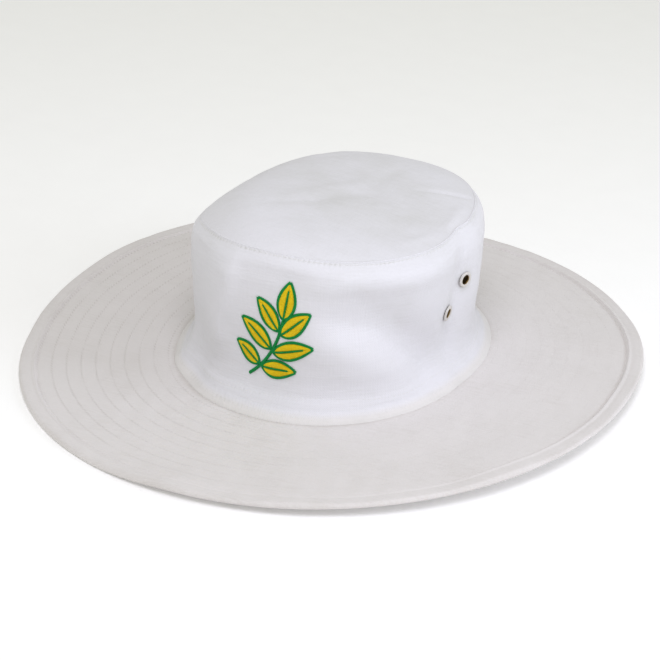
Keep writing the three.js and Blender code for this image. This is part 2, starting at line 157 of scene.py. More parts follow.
# Folds of the wall: how far they press in, their reaches left and right of the way they run, a power
# that is smaller for a sharper fold, and their path of (angle, rise)
CREASES = {
    "top_roll": (-3.6, 7, 13, 1.7, ((10, 0.96), (27, 0.92), (44, 0.91), (61, 0.94), (82, 0.95))),
    "trough": (5.0, 20, 11, 1.6, (
        (10, 0.68), (24, 0.61), (37, 0.56), (48, 0.42), (58, 0.27), (67, 0.11), (76, -0.05))),
    "ridge": (-1.8, 10, 12, 2, ((3, 0.5), (21, 0.45), (33, 0.27), (50, 0.1), (56, -0.04))),
    "stiff_front": (3.4, 19, 22, 2, ((4, 1.25), (5, 0.76), (-4, 0.38), (-7, -0.1))),
    "corner": (-2.8, 5, 9, 1.7, (
        (-9, 1.15), (-12.5, 0.88), (-14, 0.68), (-18, 0.5), (-20, 0.35), (-28, 0.12))),
    "left_hollow": (2.6, 18, 20, 2, ((-34, 1.2), (-34, 0.56), (-36, 0.1))),
    "seam_groove": (1.0, 8, 7, 2, ((81, 1.0), (83, 0.75), (85, 0.45))),
}
CREASE_STEPS = 24
CREASE_FADE = 0.25
CREASE_ENDS = {"full": 0.14, "weaker": 0.84, "held": 0.35}

# Where the wall meets its neighbours: the side seams, the folds over its foot, which are clearest at
# the front, the swelling below the top seam, and how far its foot is rounded and its ends are lifted
SEAM_OPEN = 0.006
SEAM_RELIEF = ((0.04, 0, 0.8), (-0.1, 3.2, 2.4))
SEAM_STARTS = (0.2, 0.45)
SEAM_VALLEY = {"up": (0.6, 0.3, 0.22), "front_reach": 9, "back_reach": 4}
FOOT_FOLDS = ((0.55, 4.4, 1.5), (-0.35, 8, 2))
FOOT_FRONT = {"angle": 5, "fade": (35, 75)}
FOOT_FLARE = (-0.8, 0, 1.6)
TOP_SWELL = (-0.15, 78.12, 2.5)
FOOT_ROUNDING = (0.18, 0.05)
WALL_ENDS = {"foot": 0.06, "top": -0.02}

# The ridge of turned cloth along the top seam, clearest on the wearer's left
TOP_RIDGE = {"rise": (-0.1, 0.4), "inset": 0.02, "foot": 0.01, "over": 0.3, "tall": 0.5}

# Where the cloth is a little darker: soil, a greyer middle of the top, and on the brim beside the wall,
# soil with painted shade
# A broad patch that makes the middle of the top darker and greyer
TOP_MIDDLE_GREYING = {"x": 12, "y": 6, "across": 50, "along": 68, "power": 4, "strength": 0.22}
# The joint's darkening beside the wall is soil with painted shade, stronger on the wearer's right, away
# from the lights; the rim's is soil.
BRIM_SOIL_AND_SHADE = {"joint": (0.55, 0.15), "joint_reach": 2.5, "rim": 0.15, "rim_reach": 4}
WALL_SOIL = {"foot": (0.15, 0, 1.5), "top": (0.1, 84, 1.6), "eyelet": (0.5, 0, 5.6)}
BAND_SOIL = {"all": 0.3, "middle": (0.5, 16.8, 9)}

# Between these mm above the brim, the warmer cotton of the wall's foot passes into its own
WARM_FOOT = (1.5, 4.5)

# Folds in the cloth of the top: from a point to a point in plan, the reach and how far it lifts. They
# fade out toward their ends, and between these shares of the way to the seam, which holds the cloth.
FOLD_FADE = 0.4
TOP_HELD = (0.93, 0.99)
SAG = {"x": 10, "y": -12, "reach": 58, "power": 4, "depth": 6.5, "fade": 9}
TIP_FOLDS = (
    ((30, 24), (72, 48), 1.8, -0.8),
    ((30, 31), (70, 53), 3.5, 0.25),
    ((52, -44), (66, -8), 3.5, 0.7),
    ((66, -14), (62, 34), 4.0, 0.8),
    ((-30, -46), (8, -14), 5.0, -0.7),
    ((-14, -32), (28, 22), 6.0, -0.8),
    ((-24, -30), (18, 34), 5.0, 0.6),
    ((10, 0), (16, 60), 5.5, -0.7),
    ((-52, -34), (-14, -64), 6.0, 0.5),
    ((-46, 30), (-8, 62), 5.0, -0.6),
)


def wave(row, turn, share=1.0):
    total = row["mean"] + 0 * turn
    for order, (c, s) in enumerate(zip(row["cos"], row["sin"]), start=1):
        total = total + share**order * (c * np.cos(order * turn) + s * np.sin(order * turn))
    return total


def smooth(low, high, value):
    t = np.clip((value - low) / (high - low), 0, 1)
    return t * t * (3 - 2 * t)


def hump(value, reach):
    return np.exp(-((value / reach) ** 2))


def ridge(row, value):
    """A rounded ridge: its strength, the value that it is at, and its reach."""
    strength, at, reach = row
    return strength * hump(value - at, reach)


def by_side(pair, kind, turn):
    """Passes from the value for the wearer's right to the one for the left."""
    right, left = pair
    return right + (left - right) * smooth(*TO_LEFT[kind], np.sin(turn))


def unit(way):
    return way / np.linalg.norm(way, axis=-1, keepdims=True)


def grid(first, second):
    return np.meshgrid(first, second, indexing="ij")


def degrees_from(angle, turn):
    """The degrees from an angle to a turn, the shorter way round."""
    return (np.degrees(turn) - angle + 180) % 360 - 180


def follow(table, value):
    """A smooth curve through the rows of a table."""
    at = np.array([row[0] for row in table], float)
    to = np.array([row[1] for row in table], float)
    span = np.diff(at)
    slope = np.diff(to) / span
    tangent = np.concatenate([slope[:1], slope[-1:]])
    inner = (slope[:-1] * span[1:] + slope[1:] * span[:-1]) / (span[1:] + span[:-1])
    tangent = np.insert(tangent, 1, inner)
    i = np.clip(np.searchsorted(at, value, side="right") - 1, 0, len(span) - 1)
    t = (value - at[i]) / span[i]
    start = (2 * t**3 - 3 * t**2 + 1) * to[i] + (t**3 - 2 * t**2 + t) * span[i] * tangent[i]
    return start + (3 * t**2 - 2 * t**3) * to[i + 1] + (t**3 - t**2) * span[i] * tangent[i + 1]


def oval(shape, turn):
    across, ahead = np.sin(turn), np.cos(turn)
    total = np.abs(across / shape["side"]) ** OVAL_POWER + np.abs(ahead / shape["front"]) ** OVAL_POWER
    radius = total ** (-1 / OVAL_POWER)
    return np.stack([shape["x"] + radius * across, shape["y"] - radius * ahead], -1)


def outward(turn):
    """The horizontal direction straight out of the head oval."""
    at = oval(HEAD, turn)
    size = np.array([HEAD["side"], HEAD["front"]])
    return unit(np.sign(at) * np.abs(at / size) ** (OVAL_POWER - 1) / size)


def with_height(plan, height):
    return np.concatenate([plan, np.broadcast_to(height, plan.shape[:-1])[..., None]], -1)


def raised(points, height):
    return points + np.asarray(height)[..., None] * np.array([0, 0, 1.0])


def brim_middle(turn, share):
    """The middle of the brim's thickness at a share of its width, 0 at the wall and 1 at the rim."""
    pitch = np.radians(wave(WAVES["pitch"], turn))
    plan = oval(HEAD, turn) + outward(turn) * (BRIM["width"] * np.cos(pitch) * share)[..., None]
    free = wave(WAVES["junction"], turn) - BRIM["thick"] / 2 * (1 - share)
    free = free + BRIM["width"] * np.sin(pitch) * share
    rest = BRIM["thick"] / 2
    clear = free - rest
    settled = rest + np.maximum(clear, 0) * smooth(*REST["height"], clear)
    lifted = ridge(RIM_WAVE, np.degrees(turn)) * smooth(RIM_WAVE_START, 1, share)
    return with_height(plan, free + (settled - free) * smooth(*REST["share"], share) + lifted)


def dent_depth(turn, rise):
    depth = 0
    for angle, at, before, after, below, above, lean, deep, power in DENTS.values():
        arc = degrees_from(angle, turn) * DENT_ARC
        up = (rise - at) * DENT_TALL
        across, along = np.sin(np.radians(lean)), np.cos(np.radians(lean))
        p = arc * along + up * across
        q = up * along - arc * across
        far = np.abs(p) / np.where(p < 0, before, after)
        high = np.abs(q) / np.where(q < 0, below, above)
        depth = depth + deep * np.exp(-(far ** power) - high**2)
    return depth


def crease_depth(turn, rise):
    """How far the folds press the wall in."""
    turn, rise = np.broadcast_arrays(turn, rise)
    arc = degrees_from(0, turn) * DENT_ARC
    at = np.stack([arc, rise * DENT_TALL], -1)
    depth = np.zeros(arc.shape)
    for deep, left, right, power, path in CREASES.values():
        rows = np.array(path) * [DENT_ARC, DENT_TALL]
        spots = np.linspace(0, len(rows) - 1, CREASE_STEPS)
        table = [[(i, row[k]) for i, row in enumerate(rows)] for k in (0, 1)]
        path = np.stack([follow(column, spots) for column in table], -1)
        nearest = np.full(arc.shape, np.inf)
        share, side = np.zeros(arc.shape), np.zeros(arc.shape)
        for i, (start, end) in enumerate(zip(path[:-1], path[1:])):
            way = end - start
            off = at - start
            t = np.clip(off @ way / (way @ way), 0, 1)
            gap = np.linalg.norm(off - t[..., None] * way, axis=-1)
            closer = gap < nearest
            nearest = np.where(closer, gap, nearest)
            share = np.where(closer, (i + t) / (CREASE_STEPS - 1), share)
            side = np.where(closer, way[0] * off[..., 1] - way[1] * off[..., 0], side)
        fade = smooth(0, CREASE_FADE, share) * smooth(0, CREASE_FADE, 1 - share)
        reach = np.where(side > 0, left, right)
        depth = depth + deep * fade * np.exp(-((nearest / reach) ** power))
    foot = smooth(0, CREASE_ENDS["full"], rise)
    top = 1 - (1 - CREASE_ENDS["held"]) * smooth(CREASE_ENDS["weaker"], 1, rise)
    return depth * foot * top


def wall_point(turn, rise, depth=0.0):
    """A point of the side wall, at a depth behind its outer face."""
    inset = follow(WALL_PROFILE, rise)[..., None]
    plan = oval(HEAD, turn) * (1 - inset) + oval(TIP, turn) * inset
    plan = plan - outward(turn) * (depth + dent_depth(turn, rise) + crease_depth(turn, rise))[..., None]
    foot = wave(WAVES["junction"], turn)
    return with_height(plan, foot + (wave(WAVES["seam"], turn) - foot) * rise)


def tip_point(turn, share):
    """A point on the outside of the crown's top, at a share of the way from its middle to the seam."""
    middle = np.array([TIP["x"], TIP["y"]])
    plan = middle + (oval(TIP, turn) - middle) * share[..., None]
    press = dent_depth(turn, 1.0) + crease_depth(turn, 1.0)
    plan = plan - outward(turn) * (press * share ** DOME["fold"])[..., None]
    full = 1 - DOME["left"] * share * np.sin(turn) + DOME["front"] * share * np.cos(turn)
    swell = DOME["height"] * (1 - share ** DOME["power"]) * full
    off = np.hypot(plan[..., 0] - SAG["x"], plan[..., 1] - SAG["y"])
    sag = np.exp(-((off / SAG["reach"]) ** SAG["power"])) * (1 - share ** SAG["fade"])
    swell = swell - SAG["depth"] * sag
    return with_height(plan, wave(WAVES["seam"], turn, share) + swell)


def ripples(points, length, seed):
    """Gentle uneven relief between about -1 and 1, whose waves are about length long."""
    dice = np.random.RandomState(seed)
    total = 0
    for _ in range(RIPPLE_COUNT):
        way = dice.normal(size=points.shape[-1])
        way = unit(way) * dice.uniform(0.7, 1.4) * 2 * np.pi / length
        total = total + np.cos(points @ way + dice.uniform(0, 2 * np.pi))
    return total / np.sqrt(RIPPLE_COUNT)


# The share of the way round the hat at each turn, measured along the brim and starting at the back
ROUND_TURNS = np.linspace(-np.pi, np.pi, 2881)
ROUND_OFFSET = 30


def ring_at(offset):
    """The head oval, widened by an offset."""
    return oval(HEAD, ROUND_TURNS) + outward(ROUND_TURNS) * offset


def lengths_along(path):
    """The length from the start of a path to each of its points."""
    return np.insert(np.cumsum(np.linalg.norm(np.diff(path, axis=0), axis=1)), 0, 0)


_lengths = lengths_along(ring_at(ROUND_OFFSET))
ROUND_SHARES = _lengths / _lengths[-1]


def share_round(turn):
    laps = np.floor((turn + np.pi) / (2 * np.pi))
    return laps + np.interp(turn - laps * 2 * np.pi, ROUND_TURNS, ROUND_SHARES)


def turn_at(share):
    return np.interp(share % 1, ROUND_SHARES, ROUND_TURNS)


# How far each stitch row of the brim is from the wall. The last one holds the hem.
ROW_OFFSETS = np.linspace(BRIM_ROWS["first"], BRIM["width"] - BRIM["hem"], BRIM_ROWS["count"])


def row_counts():
    """How many stitches each row of the brim has."""
    lengths = [lengths_along(ring_at(offset))[-1] for offset in ROW_OFFSETS]
    return np.round(np.array(lengths) / STITCH["pitch"])


def hem_strength(turn):
    """The hem stands out most on the wearer's left, where it has curled up a little."""
    return 1 + HEM_CURL["more"] * hump(degrees_from(HEM_CURL["angle"], turn), HEM_CURL["reach"])


def uneven(kind, points):
    strength, length, seed = WAVES_IN_CLOTH[kind]
    return strength * ripples(points, length, seed)


def brim_swing(middle, offset):
    """Broad waves of the brim, only where it is clear of the floor and of the wall."""
    off_floor = smooth(*BRIM_CLEAR["floor"], middle[..., 2] - BRIM["thick"] / 2)
    return uneven("brim_broad", middle[..., :2]) * off_floor * smooth(*BRIM_CLEAR["wall"], offset)


def brim_top(turn, share):
    """The upper face of the brim, quilted between its stitch rows."""
    s = share * BRIM["width"]
    hem = BRIM["width"] - BRIM["hem"]
    near = np.min(np.abs(s[..., None] - ROW_OFFSETS), -1)
    middle = brim_middle(turn, share)
    lift = QUILT["puff"] * (1 - hump(near, QUILT["reach"])) * smooth(*EASES["quilt"], s)
    lift = lift * (1 - smooth(hem, hem + 1, s)) + BRIM["puff"] * smooth(*EASES["hem"], s - hem)
    for row in HEM_PROFILE:
        lift = lift + hem_strength(turn) * ridge(row, s - hem)
    lift = lift + uneven("brim_fine", middle[..., :2]) * smooth(*EASES["fine"], s)
    lift = lift + brim_swing(middle, s)
    return raised(middle, BRIM["thick"] / 2 + lift)


def brim_under(turn, share):
    """The lower face of the brim. It touches the floor where the brim lies flat."""
    s = share * BRIM["width"]
    near = np.min(np.abs(s[..., None] - ROW_OFFSETS), -1)
    middle = brim_middle(turn, share)
    lift = QUILT["under"] * hump(near, QUILT["reach"]) + brim_swing(middle, s)
    return raised(middle, lift - BRIM["thick"] / 2)


def row_rise(name, turn):
    """The rise of one of the wall's stitch rows."""
    rise = WALL_ROWS[name] + 0 * turn
    if name == "band":
        rise = rise + ridge(BAND_ROW_SWELL, np.degrees(turn))
    return rise


def along_wall(turn, start):
    """The mm along the wall from one turn to another, the shorter way round."""
    return ((turn - start + np.pi) % (2 * np.pi) - np.pi) * WALL_ARC


def seam_turns(rise):
    return np.radians(follow(LEFT_SEAM, rise)), np.radians(RIGHT_SEAM)


def wall_relief(turn, rise):
    """How far the visible wall is pressed in, beside the dents: stitch rows, seams and wrinkles."""
    high = rise * DENT_TALL
    flat = np.stack([turn * WALL_ARC, high], -1)
    press = uneven("wall_broad", flat * np.array([0.5, 1])) + uneven("wall_fine", flat)
    for name, groove in ROW_GROOVES.items():
        press = press + groove * hump((rise - row_rise(name, turn)) * DENT_TALL, ROW_REACH)
    front = 1 - smooth(*FOOT_FRONT["fade"], np.abs(np.degrees(turn) - FOOT_FRONT["angle"]))
    press = press + sum(ridge(row, high) for row in FOOT_FOLDS) * front
    press = press + ridge(FOOT_FLARE, high) + ridge(TOP_SWELL, high)
    left, right = seam_turns(rise)
    for seam in (left, right):
        off = np.abs(along_wall(turn, seam))
        press = press + sum(ridge(row, off) for row in SEAM_RELIEF) * smooth(*SEAM_STARTS, rise)
    off = (turn - left) * WALL_ARC
    reach = np.where(off < 0, SEAM_VALLEY["front_reach"], SEAM_VALLEY["back_reach"])
    return press + ridge(SEAM_VALLEY["up"], rise) * hump(off, reach)


def wall_face(turn, rise):
    """The outer face of the visible wall."""
    return wall_point(turn, rise, wall_relief(turn, rise))


def fold_lift(plan):
    """How far the folds of the top lift its cloth."""
    lift = uneven("top_broad", plan * np.array([0.6, 1])) + uneven("top_fine", plan)
    for start, end, reach, up in TIP_FOLDS:
        way = np.subtract(end, start)
        t = np.clip(((plan - start) @ way) / (way @ way), 0, 1)
        off = np.linalg.norm(plan - start - t[..., None] * way, axis=-1)
        fade = smooth(0, FOLD_FADE, t) * smooth(0, FOLD_FADE, 1 - t)
        lift = lift + up * fade * hump(off, reach)
    return lift


def tip_face(turn, share):
    """The outer face of the visible top, with its folds."""
    points = tip_point(turn, share)
    return raised(points, fold_lift(points[..., :2]) * (1 - smooth(*TOP_HELD, share)))


def bezier(points, t):
    """Spots at t along a curve, or along many curves, with three or four control points."""
    t = np.asarray(t)[..., None]
    points = [np.asarray(point, float)[..., None, :] for point in points]
    while len(points) > 1:
        points = [start * (1 - t) + end * t for start, end in zip(points[:-1], points[1:])]
    return points[0]


def normal_of(face, turn, share):
    """The outward direction of a face at a turn and a share or rise."""
    step = 0.004
    along = face(turn + step, share) - face(turn - step, share)
    up = face(turn, share + step) - face(turn, share - step)
    return unit(np.cross(along, up))


def put_in_scene(name, data):
    made = bpy.data.objects.new(name, data)
    bpy.context.scene.collection.objects.link(made)
    return made


def placing(x, y, z, place):
    """The matrix of three directions and a place."""
    return Matrix([[x[i], y[i], z[i], place[i]] for i in range(3)] + [[0, 0, 0, 1]])


def put_solid(name, bm):
    """Puts a mesh in the scene that was made with bmesh."""
    mesh = bpy.data.meshes.new(name)
    bm.to_mesh(mesh)
    bm.free()
    return put_in_scene(name, mesh)


def add_object(name, points, faces, material, slot, uvs=(), marks=()):
    """A mesh piece that rides with the hat. uvs have pairs for its corners, and marks a number for each
    point."""
    mesh = bpy.data.meshes.new(name)
    mesh.from_pydata((points * MM).tolist(), [], [list(face) for face in faces])
    for uv_name, values in uvs:
        layer = mesh.uv_layers.new(name=uv_name)
        layer.data.foreach_set("uv", np.asarray(values, np.float32).ravel())
    for mark_name, values in marks:
        layer = mesh.attributes.new(mark_name, "FLOAT", "POINT")
        layer.data.foreach_set("value", np.asarray(values, np.float32).ravel())
    bm = bmesh.new()
    bm.from_mesh(mesh)
    bmesh.ops.remove_doubles(bm, verts=bm.verts, dist=1e-7)
    bmesh.ops.dissolve_degenerate(bm, dist=1e-7, edges=bm.edges)
    bmesh.ops.recalc_face_normals(bm, faces=bm.faces)
    bm.to_mesh(mesh)
    bm.free()
    mesh.polygons.foreach_set("use_smooth", np.ones(len(mesh.polygons), bool))
    mesh.materials.append(material)
    piece = put_in_scene(name, mesh)
    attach(piece, "root")
    return piece


def skin_corners(count, size, wrapped):
    """The corners of a skin's faces, as numbers of points, column by column. It has end caps unless
    it is wrapped."""
    column, row = grid(np.arange(count - 1), np.arange(size))
    after = (row + 1) % size
    here, there = column * size, (column + 1) * size
    corners = np.stack([here + row, there + row, there + after, here + after], -1).reshape(-1, 4)
    if wrapped:
        return corners
    k = np.arange(size // 2 - 1)
    cap = np.stack([k, k + 1, size - 2 - k, size - 1 - k], -1)
    return np.concatenate([corners, cap, (count - 1) * size + cap[:, ::-1]])


def sweep(name, columns, wrapped, material, slot, **maps):
    """A closed skin through columns of points, each a closed section. A wrapped skin goes all the way
    round, and its last column repeats the first one. maps has a number, or a pair, for each point."""
    count, size = columns.shape[:2]
    kept = count - 1 if wrapped else count
    corners = skin_corners(count, size, wrapped)
    faces = corners % (kept * size)
    uvs = [(key, value.reshape(-1, 2)[corners.ravel()]) for key, value in maps.items() if value.ndim == 3]
    marks = [(key, value[:kept].ravel()) for key, value in maps.items() if value.ndim == 2]
    piece = add_object(name, columns[:kept].reshape(-1, 3), faces.tolist(), material, slot, uvs, marks)
    piece.data.set_sharp_from_angle(angle=np.radians(SHARP_EDGE))
    return piece


def thread_pieces(starts, ends, normals, radius, arch, rings=4, sides=5):
    """Closed little threads from starts to ends, which arch up along the normals."""
    t = np.linspace(0, 1, rings)
    thin = np.where((t == 0) | (t == 1), THREAD_END, 1.0)
    phase = np.arange(sides) * 2 * np.pi / sides
    way = ends - starts
    side = unit(np.cross(way, normals))
    middle = starts[:, None] + way[:, None] * t[:, None]
    middle = middle + normals[:, None] * (arch * 4 * t * (1 - t))[:, None]
    ring = side[:, None, None] * np.cos(phase)[:, None] + normals[:, None, None] * np.sin(phase)[:, None]
    points = middle[:, :, None] + ring * (radius * thin)[:, None, None]
    k = np.arange(sides)
    after = (k + 1) % sides
    band = np.stack([k, after, after + sides, k + sides], -1)
    quads = np.concatenate([band + r * sides for r in range(rings - 1)])
    last = (rings - 1) * sides
    faces = []
    for offset in np.arange(len(starts)) * rings * sides:
        faces.extend((quads + offset).tolist())
        faces.append((k[::-1] + offset).tolist())
        faces.append((k + last + offset).tolist())
    return points.reshape(-1, 3), faces


def join_pieces(parts):
    """One list of points and faces from several."""
    points, faces, total = [], [], 0
    for some_points, some_faces in parts:
        points.append(some_points)
        faces.extend([[i + total for i in face] for face in some_faces])
        total += len(some_points)
    return np.concatenate(points), faces


def stitch_row(face, share, count, flip, arch):
    """A row of stitches round a face at a share, or at a rise given as a function of the turn. flip
    is -1 for a face whose share runs away from the hat and whose outside is up, and otherwise 1."""
    gap = STITCH["gap"] / STITCH["pitch"] / 2
    number = np.arange(count)
    first, last = turn_at((number + gap) / count), turn_at((number + 1 - gap) / count)
    middle = turn_at((number + 0.5) / count)
    at = share if callable(share) else lambda turn: share + 0 * turn
    normals = normal_of(face, middle, at(middle)) * flip
    sunk = normals * STITCH["sunk"]
    starts, ends = face(first, at(first)) - sunk, face(last, at(last)) - sunk
    return thread_pieces(starts, ends, normals, STITCH["radius"], arch + STITCH["sunk"])


def node(tree, kind, **settings):
    made = tree.nodes.new(kind)
    for key, value in settings.items():
        setattr(made, key, value)
    return made


def plug(tree, value, socket):
    """Links a value to a node's input, or sets it there."""
    if isinstance(value, bpy.types.NodeSocket):
        tree.links.new(value, socket)
    else:
        socket.default_value = value


def calc(tree, operation, *values):
    made = node(tree, "ShaderNodeMath", operation=operation)
    for value, socket in zip(values, made.inputs):
        plug(tree, value, socket)
    return made.outputs[0]


def noise(tree, coordinates, scale, detail=3.0):
    made = node(tree, "ShaderNodeTexNoise")
    tree.links.new(coordinates, made.inputs["Vector"])
    made.inputs["Scale"].default_value = scale
    made.inputs["Detail"].default_value = detail
    return made.outputs["Fac"]


def blend_colours(tree, amount, first, second):
    made = node(tree, "ShaderNodeMix", data_type="RGBA")
    for key, value in (("Factor", amount), ("A", first), ("B", second)):
        plug(tree, value, next(s for s in made.inputs if s.name == key and s.enabled))
    return next(s for s in made.outputs if s.enabled)


def new_material(name, roughness, sheen=0.0, specular=0.3, metallic=0.0):
    material = bpy.data.materials.new(name)
    material.use_nodes = True
    tree = material.node_tree
    shader = tree.nodes["Principled BSDF"]
    values = {"Roughness": roughness, "Specular IOR Level": specular, "Metallic": metallic,
              "Sheen Weight": sheen, "Sheen Roughness": 0.5}
    for key, value in values.items():
        shader.inputs[key].default_value = value
    return material, tree, shader


def shade(*rgb):
    return (*rgb, 1.0)


def add_up(tree, total, *terms):
    """The total plus each value times its strength."""
    for value, strength in terms:
        total = calc(tree, "MULTIPLY_ADD", value, strength, total)
    return total


def split_map(tree, name):
    """A UV map, and its two numbers."""
    vector = node(tree, "ShaderNodeUVMap", uv_map=name).outputs[0]
    split = node(tree, "ShaderNodeSeparateXYZ")
    tree.links.new(vector, split.inputs[0])
    return vector, split.outputs[0], split.outputs[1]


def stretched_noise(tree, vector, stretch):
    scaled = node(tree, "ShaderNodeVectorMath", operation="MULTIPLY")
    scaled.inputs[1].default_value = stretch
    tree.links.new(vector, scaled.inputs[0])
    return noise(tree, scaled.outputs[0], 1.0)


def add_bump(tree, shader, height, strength, distance):
    bump = node(tree, "ShaderNodeBump")
    bump.inputs["Strength"].default_value = strength
    bump.inputs["Distance"].default_value = distance
    tree.links.new(height, bump.inputs["Height"])
    tree.links.new(bump.outputs[0], shader.inputs["Normal"])


def drill_cloth(name, colour, soiled, rib=0.85, slub=0.5, pit_depth_and_shade=1.0, row_shade=1.0, even=0.0):
    """Cotton drill: fine diagonal ribs, slubs along the weft, needle holes with painted shade in them,
    painted shade along its stitch rows, and soiled places. soiled is the darker colour that soil and
    this painted shade pass to. It reads the map weave, in mm, and the map stitch: the stitch count
    along a row and the mm off it. even fills in the places where the holes have closed."""
    material, tree, shader = new_material(name, 0.9, sheen=0.3, specular=0.15)
    times, plus, less, power, sine, fraction, times_plus = [partial(calc, tree, kind) for kind in (
        "MULTIPLY", "ADD", "SUBTRACT", "POWER", "SINE", "FRACT", "MULTIPLY_ADD")]
    weave, u, v = split_map(tree, "weave")
    rate = 2 * np.pi / rib
    diagonal = sine(times(plus(u, v), rate))
    ribs = times_plus(sine(times(u, 2 * rate)), 0.35, diagonal)
    slubs = stretched_noise(tree, weave, (0.07, 0.9, 1))
    threads = stretched_noise(tree, weave, (0.9, 0.07, 1))
    patches = noise(tree, weave, 0.03)

    _, count, off = split_map(tree, "stitch")
    along = times(less(fraction(plus(count, 0.5)), 0.5), STITCH["pitch"])
    off_square = times(off, off)
    hole = power(0.5, times(plus(times(along, along), off_square), 4.5))
    open_part = times_plus(noise(tree, weave, 0.05), 3.6, even - 1.3)
    tree.nodes[-1].use_clamp = True
    hole = times(hole, open_part)
    seam = power(0.5, times(off_square, 3.0))

    soil = node(tree, "ShaderNodeAttribute", attribute_name="soil").outputs["Fac"]
    soil = times(soil, plus(patches, 0.45))
    # Needle holes and the lines of the stitch rows are darkened with painted shade.
    soil = add_up(tree, soil, (hole, 0.7 * pit_depth_and_shade), (seam, 0.1 * row_shade), (less(slubs, 0.5), slub),
                  (less(threads, 0.5), slub * 0.4), (less(patches, 0.5), 0.5), (ribs, -0.05))
    tree.nodes[-1].use_clamp = True
    warm = node(tree, "ShaderNodeAttribute", attribute_name="warm").outputs["Fac"]
    clean = blend_colours(tree, warm, shade(*colour), shade(*WARM_COTTON))
    tree.links.new(blend_colours(tree, soil, clean, shade(*soiled)), shader.inputs["Base Color"])

    height = add_up(tree, times(ribs, 0.03), (slubs, 0.3), (threads, 0.16), (hole, -0.4 * pit_depth_and_shade))
    add_bump(tree, shader, height, 0.58, MM)
    return material


def thread_material(name, colour, dark, sheen, roughness, fibre=0.4):
    """Spun or silky thread, with fine fibres and slightly uneven colour."""
    material, tree, shader = new_material(name, roughness, sheen=sheen, specular=0.4)
    place = node(tree, "ShaderNodeTexCoord").outputs["Object"]
    uneven_part = noise(tree, place, 900.0)
    mixed = blend_colours(tree, uneven_part, shade(*dark), shade(*colour))
    tree.links.new(mixed, shader.inputs["Base Color"])
    add_bump(tree, shader, noise(tree, place, 6000.0, 2.0), fibre, 0.1 * MM)
    return material


def metal_material(name, colour, worn, metallic, roughness, scale):
    """Painted or bare metal with worn, uneven patches."""
    material, tree, shader = new_material(name, roughness, specular=0.5, metallic=metallic)
    place = node(tree, "ShaderNodeTexCoord").outputs["Object"]
    wear = noise(tree, place, scale)
    tree.links.new(blend_colours(tree, wear, shade(*colour), shade(*worn)), shader.inputs["Base Color"])
    rough = calc(tree, "MULTIPLY_ADD", wear, 0.3, roughness - 0.15)
    tree.links.new(rough, shader.inputs["Roughness"])
    return material


# Colours are linear shares of red, green and blue: clean and soiled, or full and dark. A cloth's soiled
# colour also takes its painted shade.
WARM_COTTON = (0.825, 0.805, 0.8)
BRIM_CLOTH = drill_cloth("brim_drill", (0.81, 0.785, 0.78), (0.62, 0.585, 0.55),
                         pit_depth_and_shade=0.75, row_shade=0.0, even=0.45)
CROWN_CLOTH = drill_cloth("crown_drill", (0.825, 0.82, 0.855), (0.62, 0.62, 0.58),
                          slub=0.35, pit_depth_and_shade=0.9, row_shade=0.15)
BAND_CLOTH = drill_cloth("band_drill", (0.72, 0.715, 0.70), (0.52, 0.5, 0.46), rib=0.6)
CREAM_THREAD = thread_material("cream_thread", (0.83, 0.805, 0.8), (0.79, 0.765, 0.755), 0.3, 0.85, 0.05)
WHITE_THREAD = thread_material("white_thread", (0.85, 0.845, 0.85), (0.76, 0.75, 0.74), 0.2, 0.7, 0.1)
GOLD_THREAD = thread_material("gold_thread", (0.97, 0.76, 0.02), (0.76, 0.56, 0.01), 0.1, 0.45)
GREEN_THREAD = thread_material("green_thread", (0.008, 0.41, 0.11), (0.004, 0.26, 0.07), 0.05, 0.45)
ENAMEL = metal_material("white_enamel", (0.78, 0.77, 0.76), (0.66, 0.62, 0.58), 0.0, 0.35, 500.0)
BRASS = metal_material("worn_brass", (0.5, 0.36, 0.16), (0.13, 0.1, 0.06), 1.0, 0.4, 700.0)


def stitch_map(turns, rises):
    """For the wall: the stitch count along, and the mm off the nearest row."""
    off = np.min([np.hypot((rises - row_rise(name, turns)) * DENT_TALL, by_side(pair, "row_fade", turns))
                  for name, pair in ROW_FADES.items()], 0)
    return np.stack([share_round(turns) * WALL_STITCHES, off], -1)


# How many mm off any row the cloth counts where no needle holes show
NO_STITCH = 9.0


def brim_roll(turns):
    """The rim: a half round roll between the two faces."""
    roll = (BRIM["thick"] + BRIM["puff"]) / 2
    start = (BRIM["width"] - roll) / BRIM["width"]
    turns, bends = grid(turns, np.radians(np.linspace(90, -90, 11)))
    shares = start + roll * np.cos(bends) / BRIM["width"]
    middle = brim_middle(turns, shares)
    points = raised(middle, BRIM["puff"] / 2 + roll * np.sin(bends))
    wobble = brim_top(turns, shares)[..., 2] - middle[..., 2] - BRIM["thick"] / 2 - BRIM["puff"]
    points[..., 2] += wobble * np.clip(np.sin(bends), 0, 1)
    return turns, shares, points


def brim_paint(turns, offsets, counts):
    """The stitch map of the brim, and where it is darkened: soil with painted shade beside the wall, and
    soil at the rim.
    """
    off = np.min(np.abs(offsets[..., None] - ROW_OFFSETS), -1)
    off = np.hypot(off, by_side(BRIM_FADES, "brim_fade", turns))
    off = np.where(offsets < 0, NO_STITCH, off)
    stitch = np.stack([share_round(turns) * np.interp(offsets, ROW_OFFSETS, counts), off], -1)
    # Painted shade with soil beside the wall's foot, stronger on the wearer's right, away from the lights
    soil = by_side(BRIM_SOIL_AND_SHADE["joint"], "joint_soil", turns) * hump(offsets, BRIM_SOIL_AND_SHADE["joint_reach"])
    rim = smooth(BRIM["width"] - BRIM_SOIL_AND_SHADE["rim_reach"], BRIM["width"], offsets)
    return stitch, soil + BRIM_SOIL_AND_SHADE["rim"] * rim


